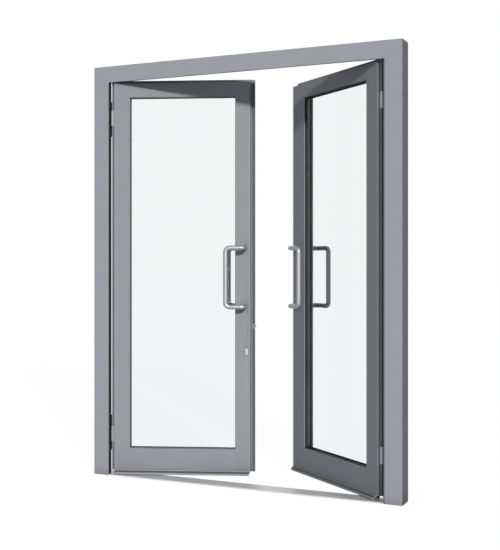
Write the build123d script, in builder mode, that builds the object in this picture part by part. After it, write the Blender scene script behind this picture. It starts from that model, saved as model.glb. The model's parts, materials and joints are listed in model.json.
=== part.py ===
from build123d import *
from collections import namedtuple
from math import cos, radians, sin
import os

# Overall frame, measured over its outside
frame_width = 1670.0
frame_height = 2150.0
frame_depth = 100.0

# Frame section: a fixing leg over the full depth, a shallower stop and a lip in front of the leaf
jamb_width = 88.0
head_height = 84.0
leg_width = 40.0
lip_depth = 15.0
rebate_width = 17.0
frame_wall = 2.2

# Threshold strip between the jambs
threshold_height = 6.0
threshold_bevel = 3.0

# Rubber strip clipped round the lip
gasket_side = 4.0
gasket_setback = 2.0
gasket_cover = 8.0
gasket_fin = 2.7
gasket_clearance = 0.3

# Leaf: outer face level with the frame, body stepped back behind the lip
leaf_thickness = 56.0
face_gap = 6.0
edge_band = 15.0
top_band = 15.0
leaf_bottom = 27.0
hinge_stile_face = 83.0
meeting_stile_face = 77.0
top_rail_face = 74.0
bottom_rail_face = 117.0
leaf_wall = 2.0

# Meeting edges: the left leaf has two steps, the right leaf a lip that covers them
meeting_gap = 9.0
meeting_centre = 0.0
first_band = 11.0
second_band = 12.0
second_band_step = 6.0
edge_groove_width = 3.0
edge_groove_depth = 4.0
right_body_gap = 4.0
right_lip_depth = 15.0
meeting_gasket_width = 11.0
meeting_gasket_setback = 0.5
meeting_gasket_break = 30.0

# Rest pose, both leaves swung inwards
left_leaf_angle = 20.1
right_leaf_angle = 37.4

# Glazing: outer lip, rubber, sealed unit, rubber, bead
glazing_lip = 18.0
glazing_lip_depth = 4.0
outer_rubber = 14.0
pane_thickness = 4.0
pane_gap = 16.0
inner_rubber = 3.0
rubber_sight = 2.5
rubber_width = 8.0
pane_margin = 5.0
spacer_width = 10.0
bead_wall = 2.0
bead_joint = 0.3

# Hinges: three knuckles on one pin, two hinges to a leaf
hinge_axis_offset = 14.0
knuckle_radius = 8.5
knuckle_clearance = 1.5
pin_radius = 4.0
pin_clearance = 0.05
pin_head_radius = 6.5
pin_head_height = 3.0
leaf_knuckle = 79.0
frame_knuckle = 51.0
knuckle_gap = 0.4
hinge_plate = 3.5
frame_plate_width = 21.0
frame_plate_clearance = 1.0
leaf_plate_width = 46.0
leaf_screw_setback = 12.0
wrap_plate = 2.5
upper_hinge_drop = 195.0
lower_hinge_rise = 190.0

# Pan-head screws of the hinges
screw_radius = 2.4
screw_hole_clearance = 0.05
screw_head_radius = 4.6
screw_head_height = 2.4
screw_length = 14.0
screw_spacing = 50.0
frame_screw_spacing = 150.0

# Handles: a bent bar with two legs that come out of the stile and turn over the glass
handle_radius = 12.0
handle_spacing = 305.0
handle_height = 1042.0
handle_standoff = 65.0
handle_reach = 98.0
handle_bend = 22.0
handle_edge_distance = 26.0
handle_socket_radius = 4.1
handle_socket_depth = 20.0
stud_radius = 4.0
stud_reach = 18.0
stud_hole_radius = 4.5

# Drip bar and brush under each leaf
drip_projection = 17.0
drip_height = 17.0
drip_nose = 10.0
drip_wall = 3.0
drip_seat = 6.0
drip_end_setback = 2.0
drip_end_bevel = 5.0
brush_thickness = 6.0
brush_setback = 22.0
brush_end_setback = 12.0
brush_gap = 1.5

# Lock in the left meeting stile, its roller below the handle's lower leg and its cylinder below that
roller_drop = 104.0
cylinder_drop = 123.0
cylinder_edge_distance = 18.6
cylinder_radius = 8.5
cylinder_body_width = 10.0
cylinder_body_drop = 20.0
cylinder_proud = 3.0
plug_radius = 6.5
plug_clearance = 0.05
plug_proud = 0.8
keyway_width = 1.6
keyway_height = 8.0
keyway_depth = 6.0
lock_case_width = 48.0
lock_case_thickness = 15.0
lock_case_margin = 45.0
lock_wall = 2.0
faceplate_width = 20.0
faceplate_thickness = 3.0
faceplate_margin = 30.0
bolt_thickness = 8.0
bolt_height = 34.0
bolt_length = 30.0
bolt_clearance = 0.4
roller_radius = 8.0
roller_thickness = 10.0
roller_proud = 6.0
roller_stem = 18.0

# Strike plate, bolts and keeps of the right leaf
strike_thickness = 2.5
strike_width = 20.0
strike_margin = 26.0
strike_clearance = 2.0
strike_pocket = 26.0
flush_bolt_radius = 5.0
flush_bolt_length = 190.0
flush_bolt_clearance = 0.3
flush_bolt_inset = 24.0
flush_bolt_depth_share = 0.5
flush_bolt_setback = 1.0
thumb_length = 24.0
thumb_width = 8.0
thumb_proud = 2.0
thumb_drop = 120.0
top_bolt_travel = 15.0
bottom_bolt_travel = 25.0
keep_clearance = 1.0
keep_wall = 3.0

# Corner cleats inside the hollow sections
cleat_clearance = 0.2
cleat_reach = 110.0
cleat_thickness = 12.0
leaf_cleat_reach = 60.0

# Plastic caps in the open ends of the stiles
cap_thickness = 3.0
cap_clearance = 0.2

# Anchor holes through the frame's fixing leg
anchor_radius = 5.25
anchor_inset = 250.0
anchor_pitch = 600.0
anchor_setback = 22.0

# One overrun for every cut that runs past a face
overrun = 1.0

half_width = frame_width / 2
front = -frame_depth / 2
lip_edge = half_width - jamb_width
head_edge = frame_height - head_height
rebate_face = lip_edge + rebate_width
stop_depth = leaf_thickness
head_share = head_height / jamb_width
hinge_axis_x = lip_edge + hinge_axis_offset
hinge_axis_depth = leaf_thickness + knuckle_clearance + knuckle_radius
axis_y = front + hinge_axis_depth
stop_face = front + stop_depth

# Places across a leaf, measured from the hinge axis along the leaf
face_start = hinge_axis_x - lip_edge + face_gap
body_start = face_start - edge_band
glass_start = face_start + hinge_stile_face
left_body_end = hinge_axis_x - meeting_centre
left_face_end = left_body_end - second_band - first_band
glass_end = left_face_end - meeting_stile_face
right_face_end = 2 * hinge_axis_x - left_face_end - meeting_gap
right_body_end = hinge_axis_x - right_body_gap
tube_start = glass_start - glazing_lip
tube_end = glass_end + glazing_lip

# Places through a leaf, measured from the hinge axis towards the inside
outer = -hinge_axis_depth
inner = outer + leaf_thickness
step_back = outer + lip_depth + gasket_fin + gasket_clearance
second_back = step_back + second_band_step
lip_back = outer + glazing_lip_depth
pane_outer = lip_back + outer_rubber
gap_outer = pane_outer + pane_thickness
gap_inner = gap_outer + pane_gap
pane_inner = gap_inner + pane_thickness
bead_outer = pane_inner + inner_rubber

# Heights of a leaf
face_top = head_edge - face_gap
body_top = face_top + top_band
glass_top = face_top - top_rail_face
glass_bottom = leaf_bottom + bottom_rail_face
top_tube = glass_top + glazing_lip
bottom_tube = glass_bottom - glazing_lip
upper_hinge = body_top - upper_hinge_drop
lower_hinge = leaf_bottom + lower_hinge_rise
lock_depth = (second_back + inner) / 2
roller_height = handle_height - handle_spacing / 2 - roller_drop
cylinder_height = roller_height - cylinder_drop

Leaf = namedtuple("Leaf", "side hand angle body_end face_end")
left_leaf = Leaf("left", 1, left_leaf_angle, left_body_end, left_face_end)
right_leaf = Leaf("right", -1, right_leaf_angle, right_body_end, right_face_end)
leaves = (left_leaf, right_leaf)

os.makedirs("parts", exist_ok=True)


def save(builder, name):
    """Labels a finished piece and writes it to its own file."""
    builder.part.label = name
    export_step(builder.part, "parts/" + name + ".step")


def along(leaf):
    """Unit direction from the hinge axis to the leaf's free edge."""
    turn = radians(leaf.angle)
    return Vector(leaf.hand * cos(turn), sin(turn), 0)


def inward(leaf):
    """Unit direction from the leaf's outer face to its inner face."""
    turn = radians(leaf.angle)
    return Vector(-leaf.hand * sin(turn), cos(turn), 0)


def spot(leaf, u, v, z):
    """A point at u along the leaf and v behind the hinge axis, at height z."""
    return Vector(-leaf.hand * hinge_axis_x, axis_y, z) + along(leaf) * u + inward(leaf) * v


def plan(leaf, z, u=0, v=0):
    """A level plane on the leaf: x runs along it, y inwards on the left leaf and outwards on the right."""
    return Plane(origin=spot(leaf, u, v, z), x_dir=along(leaf), z_dir=(0, 0, 1))


def across(leaf, u):
    """An upright plane square to the leaf: x runs inwards and y up."""
    return Plane(origin=spot(leaf, u, 0, 0), x_dir=inward(leaf), z_dir=along(leaf) * leaf.hand)


def elevation(leaf, v):
    """An upright plane along the leaf: x runs to the free edge and y up."""
    return Plane(origin=spot(leaf, 0, v, 0), x_dir=along(leaf), z_dir=inward(leaf) * -leaf.hand)


def leaf_box(leaf, u_span, v_span, z_span, mode=Mode.ADD):
    """Adds or cuts a straight block, given by its ends along, through and up the leaf."""
    middle = [(low + high) / 2 for low, high in (u_span, v_span, z_span)]
    size = [high - low for low, high in (u_span, v_span, z_span)]
    with Locations(plan(leaf, middle[2], middle[0], middle[1])):
        Box(*size, mode=mode)


def world_box(x_span, y_span, z_span, mode=Mode.ADD):
    """Adds or cuts a straight block in the frame's own directions."""
    spans = (x_span, y_span, z_span)
    with Locations(tuple((low + high) / 2 for low, high in spans)):
        Box(*[high - low for low, high in spans], mode=mode)


def leaf_rod(leaf, u, v, z_span, radius, mode=Mode.ADD):
    """Adds or cuts an upright cylinder on the leaf."""
    with Locations(plan(leaf, z_span[0], u, v)):
        Cylinder(radius, z_span[1] - z_span[0], align=(Align.CENTER, Align.CENTER, Align.MIN), mode=mode)


def through_rod(leaf, u, z, v_span, radius, mode=Mode.ADD):
    """Adds or cuts a cylinder that runs through the leaf's thickness."""
    base = Plane(origin=spot(leaf, u, v_span[0], z), x_dir=along(leaf), z_dir=inward(leaf))
    with Locations(base):
        Cylinder(radius, v_span[1] - v_span[0], align=(Align.CENTER, Align.CENTER, Align.MIN), mode=mode)


def edge_rod(leaf, z, v, u_span, radius, mode=Mode.ADD):
    """Adds or cuts a cylinder that runs along the leaf."""
    base = Plane(origin=spot(leaf, u_span[0], v, z), x_dir=inward(leaf), z_dir=along(leaf))
    with Locations(base):
        Cylinder(radius, u_span[1] - u_span[0], align=(Align.CENTER, Align.CENTER, Align.MIN), mode=mode)


def frame_outline(face, share):
    """The frame's section as points: across from the outside, and back from the front face."""
    leg = leg_width * share
    stop = face - rebate_width * share
    return [
        (0, 0),
        (face, 0),
        (face, lip_depth),
        (stop, lip_depth),
        (stop, stop_depth),
        (leg, stop_depth),
        (leg, frame_depth),
        (0, frame_depth),
    ]


def frame_chambers(face, share):
    """The hollow rooms of the frame's section: in the leg, in the stop and in the lip."""
    leg = leg_width * share
    stop = face - rebate_width * share
    return [
        ((frame_wall, leg - frame_wall), (frame_wall, frame_depth - frame_wall)),
        ((leg, stop - frame_wall), (frame_wall, stop_depth - frame_wall)),
        ((stop, face - frame_wall), (frame_wall, lip_depth - frame_wall)),
    ]


def frame_bar(plane, across_sign, face, share, length):
    """Draws the frame's hollow section on a plane and runs it along the bar's length."""
    with BuildSketch(plane) as section:
        with BuildLine():
            Polyline(*[(across_sign * t, d) for t, d in frame_outline(face, share)], close=True)
        make_face()
        for (t0, t1), (d0, d1) in frame_chambers(face, share):
            with Locations((across_sign * (t0 + t1) / 2, (d0 + d1) / 2)):
                Rectangle(t1 - t0, d1 - d0, mode=Mode.SUBTRACT)
    extrude(section.sketch, amount=length)


def mitre(points):
    """Cuts a three-cornered prism, drawn on the front view, through the frame's whole depth."""
    with BuildSketch(Plane.XZ) as wedge:
        with BuildLine():
            Polyline(*points, close=True)
        make_face()
    extrude(wedge.sketch, amount=frame_depth, both=True, mode=Mode.SUBTRACT)


anchor_heights = [
    anchor_inset,
    anchor_inset + anchor_pitch,
    frame_height - anchor_inset - anchor_pitch,
    frame_height - anchor_inset,
]
anchor_y = -front - anchor_setback
hinge_heights = (upper_hinge, lower_hinge)
hinge_names = ("upper", "lower")
half_leaf_knuckle = leaf_knuckle / 2
half_hinge = half_leaf_knuckle + knuckle_gap + frame_knuckle
frame_plate_edge = hinge_axis_x + knuckle_radius + frame_plate_clearance
frame_plate_end = frame_plate_edge + frame_plate_width

# Jambs: hollow bars from the floor to the mitre, with anchor holes and hinge screw holes
for hand, side in ((1, "left"), (-1, "right")):
    with BuildPart() as jamb:
        foot = Plane(origin=(-hand * half_width, front, 0), x_dir=(1, 0, 0), z_dir=(0, 0, 1))
        frame_bar(foot, hand, jamb_width, 1, frame_height)
        mitre([
            (-hand * half_width, frame_height),
            (-hand * lip_edge, head_edge),
            (-hand * lip_edge, frame_height + overrun),
            (-hand * half_width, frame_height + overrun),
        ])
        for z in anchor_heights:
            with Locations(Plane(origin=(-hand * half_width, anchor_y, z), z_dir=(hand, 0, 0))):
                Cylinder(anchor_radius, 2 * leg_width + 2 * overrun, mode=Mode.SUBTRACT)
        for hinge_z in hinge_heights:
            for rise in (-frame_screw_spacing / 2, 0, frame_screw_spacing / 2):
                screw_x = -hand * (frame_plate_edge + frame_plate_end) / 2
                with Locations(Plane(origin=(screw_x, stop_face, hinge_z + rise), z_dir=(0, 1, 0))):
                    Cylinder(screw_radius + screw_hole_clearance, 2 * screw_length, mode=Mode.SUBTRACT)
    save(jamb, side + "_jamb")

# Head: the same section with a slightly lower face, mitred into the jambs
keep_x = hinge_axis_x - (right_body_end - flush_bolt_inset)
keep_y = axis_y + outer + leaf_thickness * flush_bolt_depth_share
head_rebate = head_edge + rebate_width * head_share
keep_radius = flush_bolt_radius + keep_clearance + keep_wall
with BuildPart() as head:
    end = Plane(origin=(-half_width, front, frame_height), x_dir=(0, 0, -1), z_dir=(1, 0, 0))
    frame_bar(end, 1, head_height, head_share, frame_width)
    for hand in (1, -1):
        mitre([
            (-hand * half_width, frame_height),
            (-hand * lip_edge, head_edge),
            (-hand * lip_edge, head_edge - overrun),
            (-hand * (half_width + overrun), head_edge - overrun),
            (-hand * (half_width + overrun), frame_height),
        ])
    with Locations((keep_x, keep_y, head_rebate)):
        Cylinder(keep_radius, 2 * rebate_width, mode=Mode.SUBTRACT)
save(head, "head")

# Threshold: a flat strip between the jambs, cut round their section, with bevelled edges
with BuildPart() as threshold:
    with BuildSketch():
        with BuildLine():
            half_outline = [
                (lip_edge, front),
                (lip_edge, front + lip_depth),
                (rebate_face, front + lip_depth),
                (rebate_face, stop_face),
                (half_width - leg_width, stop_face),
                (half_width - leg_width, -front),
            ]
            Polyline(*half_outline, *[(-x, y) for x, y in reversed(half_outline)], close=True)
        make_face()
    extrude(amount=threshold_height)
    long_edges = threshold.edges().group_by(Axis.Z)[-1].filter_by(Axis.X)
    chamfer([long_edges.sort_by(Axis.Y)[0], long_edges.sort_by(Axis.Y)[-1]], threshold_bevel)
    with Locations((keep_x, keep_y, 0)):
        Cylinder(keep_radius, 2 * threshold_height + overrun, mode=Mode.SUBTRACT)
save(threshold, "threshold")

# Frame gasket: black rubber on the jambs' lip, with a fin behind the lip that the leaf presses on
with BuildPart() as frame_gasket:
    fin_y = front + lip_depth
    fin_in = lip_edge - gasket_side
    fin_out = lip_edge + gasket_cover
    with BuildSketch(Plane.XZ.offset(-fin_y)) as fin:
        with BuildLine():
            Polyline(
                (-fin_out, threshold_height),
                (-fin_out, head_edge + gasket_cover),
                (fin_out, head_edge + gasket_cover),
                (fin_out, threshold_height),
                (fin_in, threshold_height),
                (fin_in, head_edge),
                (-fin_in, head_edge),
                (-fin_in, threshold_height),
                close=True,
            )
        make_face()
    extrude(fin.sketch, amount=-gasket_fin)
    for hand in (1, -1):
        strip_x = sorted((-hand * lip_edge, -hand * fin_in))
        world_box(strip_x, (front + gasket_setback, fin_y), (threshold_height, head_edge))
save(frame_gasket, "frame_gasket")

# Corner cleats: an angle inside each mitred corner that ties the head to the jambs
with BuildPart() as frame_corner_cleats:
    slack = frame_wall + cleat_clearance
    leg_in = leg_width - frame_wall - cleat_clearance
    head_leg_in = leg_width * head_share - frame_wall - cleat_clearance
    cleat_y = (front + slack, front + slack + cleat_thickness)
    for hand in (1, -1):
        far = -hand * (half_width - slack)
        near = -hand * (half_width - leg_in)
        reach = -hand * (half_width - cleat_reach)
        roof = frame_height - slack
        world_box(sorted((far, near)), cleat_y, (frame_height - cleat_reach, roof))
        world_box(sorted((far, reach)), cleat_y, (frame_height - head_leg_in, roof))
save(frame_corner_cleats, "frame_corner_cleats")

# Bolt keeps: a cup in the head and a bush in the threshold for the right leaf's bolts
with BuildPart() as bolt_keeps:
    stand_up = (Align.CENTER, Align.CENTER, Align.MIN)
    cup_radius = keep_radius - cleat_clearance
    hole_radius = flush_bolt_radius + keep_clearance
    with Locations((keep_x, keep_y, head_rebate)):
        Cylinder(cup_radius, rebate_width, align=stand_up)
        Cylinder(hole_radius, rebate_width - keep_wall, align=stand_up, mode=Mode.SUBTRACT)
    with Locations((keep_x, keep_y, 0)):
        Cylinder(cup_radius, threshold_height, align=stand_up)
        Cylinder(hole_radius, threshold_height, align=stand_up, mode=Mode.SUBTRACT)
save(bolt_keeps, "bolt_keeps")

# Hinge halves on the frame: a plate on the stop with a knuckle at each end
closed_left = Leaf("left", 1, 0, left_body_end, left_face_end)
closed_right = Leaf("right", -1, 0, right_body_end, right_face_end)
plate_face = stop_depth - hinge_axis_depth
for leaf in (closed_left, closed_right):
    for name, hinge_z in zip(hinge_names, hinge_heights):
        with BuildPart() as frame_hinge:
            plate_v = (plate_face, plate_face + hinge_plate)
            plate_u = (hinge_axis_x - frame_plate_end, hinge_axis_x - frame_plate_edge)
            leaf_box(leaf, plate_u, plate_v, (hinge_z - half_hinge, hinge_z + half_hinge))
            for low in (hinge_z - half_hinge, hinge_z + half_hinge - frame_knuckle):
                knuckle_z = (low, low + frame_knuckle)
                leaf_box(leaf, (plate_u[0], 0), plate_v, knuckle_z)
                leaf_rod(leaf, 0, 0, knuckle_z, knuckle_radius)
                leaf_rod(leaf, 0, 0, knuckle_z, pin_radius + pin_clearance, Mode.SUBTRACT)
            for rise in (-frame_screw_spacing / 2, 0, frame_screw_spacing / 2):
                screw_u = (plate_u[0] + plate_u[1]) / 2
                hole_v = (plate_v[0] - overrun, plate_v[1] + overrun)
                hole_radius = screw_radius + screw_hole_clearance
                through_rod(leaf, screw_u, hinge_z + rise, hole_v, hole_radius, Mode.SUBTRACT)
        save(frame_hinge, leaf.side + "_" + name + "_frame_hinge")

# Hinge pins, each with a head on the upper knuckle
with BuildPart() as hinge_pins:
    for leaf in (closed_left, closed_right):
        for hinge_z in hinge_heights:
            top = hinge_z + half_hinge
            leaf_rod(leaf, 0, 0, (hinge_z - half_hinge, top), pin_radius)
            leaf_rod(leaf, 0, 0, (top, top + pin_head_height), pin_head_radius)
save(hinge_pins, "hinge_pins")

# Screws of the frame's hinge halves
with BuildPart() as frame_hinge_screws:
    for leaf in (closed_left, closed_right):
        for hinge_z in hinge_heights:
            for rise in (-frame_screw_spacing / 2, 0, frame_screw_spacing / 2):
                screw_u = hinge_axis_x - (frame_plate_edge + frame_plate_end) / 2
                seat = plate_face + hinge_plate
                through_rod(leaf, screw_u, hinge_z + rise, (seat - screw_length, seat), screw_radius)
                head_v = (seat, seat + screw_head_height)
                through_rod(leaf, screw_u, hinge_z + rise, head_v, screw_head_radius)
save(frame_hinge_screws, "frame_hinge_screws")


def leaf_section(leaf, outline, rooms, z_span):
    """Runs a hollow stile section, given as points along and through the leaf, from low to high."""
    with BuildSketch(plan(leaf, z_span[0])) as section:
        with BuildLine():
            Polyline(*[(u, leaf.hand * v) for u, v in outline], close=True)
        make_face()
        for (u0, u1), (v0, v1) in rooms:
            with Locations(((u0 + u1) / 2, leaf.hand * (v0 + v1) / 2)):
                Rectangle(u1 - u0, v1 - v0, mode=Mode.SUBTRACT)
    extrude(section.sketch, amount=z_span[1] - z_span[0])


def leaf_rail(leaf, outline, rooms, u_span):
    """Runs a hollow rail section, given as points through and up the leaf, between the stiles."""
    with BuildSketch(across(leaf, u_span[0])) as section:
        with BuildLine():
            Polyline(*outline, close=True)
        make_face()
        for (v0, v1), (z0, z1) in rooms:
            with Locations(((v0 + v1) / 2, (z0 + z1) / 2)):
                Rectangle(v1 - v0, z1 - z0, mode=Mode.SUBTRACT)
    extrude(section.sketch, amount=leaf.hand * (u_span[1] - u_span[0]))


def rubber_ring(leaf, v_span):
    """Adds a rectangular ring of rubber round the glass, pressed on the lip or the bead."""
    with BuildSketch(elevation(leaf, v_span[0])) as ring:
        with Locations(((glass_start + glass_end) / 2, (glass_bottom + glass_top) / 2)):
            Rectangle(
                glass_end - glass_start + 2 * (rubber_width - rubber_sight),
                glass_top - glass_bottom + 2 * (rubber_width - rubber_sight),
            )
            Rectangle(
                glass_end - glass_start - 2 * rubber_sight,
                glass_top - glass_bottom - 2 * rubber_sight,
                mode=Mode.SUBTRACT,
            )
    extrude(ring.sketch, amount=leaf.hand * (v_span[0] - v_span[1]))


def handle_bar(leaf, seat, sense):
    """Sweeps the round bar: out of the stile, over towards the glass, down the grip and back."""
    mount_u = left_face_end - handle_edge_distance
    grip_u = mount_u - handle_reach
    rise = handle_spacing / 2
    stand = seat + sense * handle_standoff
    corners = [
        spot(leaf, mount_u, seat, handle_height + rise),
        spot(leaf, mount_u, stand, handle_height + rise),
        spot(leaf, grip_u, stand, handle_height + rise),
        spot(leaf, grip_u, stand, handle_height - rise),
        spot(leaf, mount_u, stand, handle_height - rise),
        spot(leaf, mount_u, seat, handle_height - rise),
    ]
    with BuildLine() as route:
        FilletPolyline(*corners, radius=handle_bend)
    with BuildSketch(Plane(origin=corners[0], x_dir=(0, 0, 1), z_dir=corners[1] - corners[0])) as round_bar:
        Circle(handle_radius)
    sweep(round_bar.sketch, path=route.line)
    for z in (handle_height - rise, handle_height + rise):
        socket = sorted((seat - sense * overrun, seat + sense * handle_socket_depth))
        through_rod(leaf, mount_u, z, socket, handle_socket_radius, Mode.SUBTRACT)


lock_low = cylinder_height - lock_case_margin
lock_high = roller_height + lock_case_margin
cylinder_u = left_face_end - cylinder_edge_distance
bolt_z = (cylinder_height + roller_height) / 2
face_in = left_body_end - faceplate_thickness
case_front = face_in
faceplate_low = lock_low - faceplate_margin
faceplate_high = lock_high + faceplate_margin
case_v = (lock_depth - lock_case_thickness / 2, lock_depth + lock_case_thickness / 2)
bolt_v = (lock_depth - bolt_thickness / 2, lock_depth + bolt_thickness / 2)
bolt_slot_v = (bolt_v[0] - bolt_clearance, bolt_v[1] + bolt_clearance)
bolt_zs = (bolt_z - bolt_height / 2, bolt_z + bolt_height / 2)
bolt_slot_z = (bolt_zs[0] - bolt_clearance, bolt_zs[1] + bolt_clearance)
roller_v = (lock_depth - roller_thickness / 2, lock_depth + roller_thickness / 2)
roller_slot_v = (roller_v[0] - bolt_clearance, roller_v[1] + bolt_clearance)
roller_zs = (roller_height - roller_radius, roller_height + roller_radius)
roller_slot_z = (roller_zs[0] - bolt_clearance, roller_zs[1] + bolt_clearance)
mount_u = left_face_end - handle_edge_distance
stud_heights = (handle_height - handle_spacing / 2, handle_height + handle_spacing / 2)
strike_v = (lock_depth - strike_width / 2, lock_depth + strike_width / 2)
strike_zs = (bolt_zs[0] - strike_margin, roller_zs[1] + strike_margin)
bolt_u = right_body_end - flush_bolt_inset
bolt_axis_v = outer + leaf_thickness * flush_bolt_depth_share
rod_top = (body_top - flush_bolt_setback - flush_bolt_length, body_top - flush_bolt_setback)
rod_bottom = (leaf_bottom + flush_bolt_setback, leaf_bottom + flush_bolt_setback + flush_bolt_length)
thumb_zs = (rod_top[1] - thumb_drop - thumb_length, rod_top[1] - thumb_drop)
low_thumb_zs = (rod_bottom[0] + thumb_drop, rod_bottom[0] + thumb_drop + thumb_length)
upper_slot = (thumb_zs[0] - flush_bolt_clearance, thumb_zs[1] + top_bolt_travel + flush_bolt_clearance)
slot_foot = low_thumb_zs[0] - bottom_bolt_travel - flush_bolt_clearance
lower_slot = (slot_foot, low_thumb_zs[1] + flush_bolt_clearance)
thumb_v = (bolt_axis_v - thumb_width / 2, bolt_axis_v + thumb_width / 2)
thumb_slot_v = (thumb_v[0] - flush_bolt_clearance, thumb_v[1] + flush_bolt_clearance)


def key_hole(leaf, v_span, grow, mode):
    """Adds or cuts the keyhole shape of the lock cylinder: a round top and a narrow rounded body below it."""
    half = cylinder_body_width / 2 + grow
    low = cylinder_height - cylinder_body_drop
    through_rod(leaf, cylinder_u, cylinder_height, v_span, cylinder_radius + grow, mode)
    leaf_box(leaf, (cylinder_u - half, cylinder_u + half), v_span, (low, cylinder_height), mode)
    through_rod(leaf, cylinder_u, low, v_span, half, mode)


def clear_face_top(leaf, u_span):
    """Cuts the outer face back above its top edge, so that only the body runs up behind the head's lip."""
    leaf_box(leaf, u_span, (outer - overrun, step_back), (face_top, body_top + overrun), Mode.SUBTRACT)


hinge_u = (face_start + leaf_wall, tube_start - leaf_wall)
face_room_v = (outer + leaf_wall, step_back)
tube_room_v = (step_back + leaf_wall, inner - leaf_wall)
hinge_face_room = (hinge_u, face_room_v)
hinge_tube_room = (hinge_u, tube_room_v)


def meeting_rooms(leaf):
    """The two main rooms of a meeting stile: behind its outer face, and in its tube."""
    end = min(leaf.face_end, leaf.body_end) - leaf_wall
    return [((tube_end + leaf_wall, end), face_room_v), ((tube_end + leaf_wall, end), tube_room_v)]


def room_plug(leaf, room, z_span):
    """Adds a cap that fits into one room of a stile with a little room to spare."""
    u_span, v_span = [(low + cap_clearance, high - cap_clearance) for low, high in room]
    leaf_box(leaf, u_span, v_span, z_span)


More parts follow.
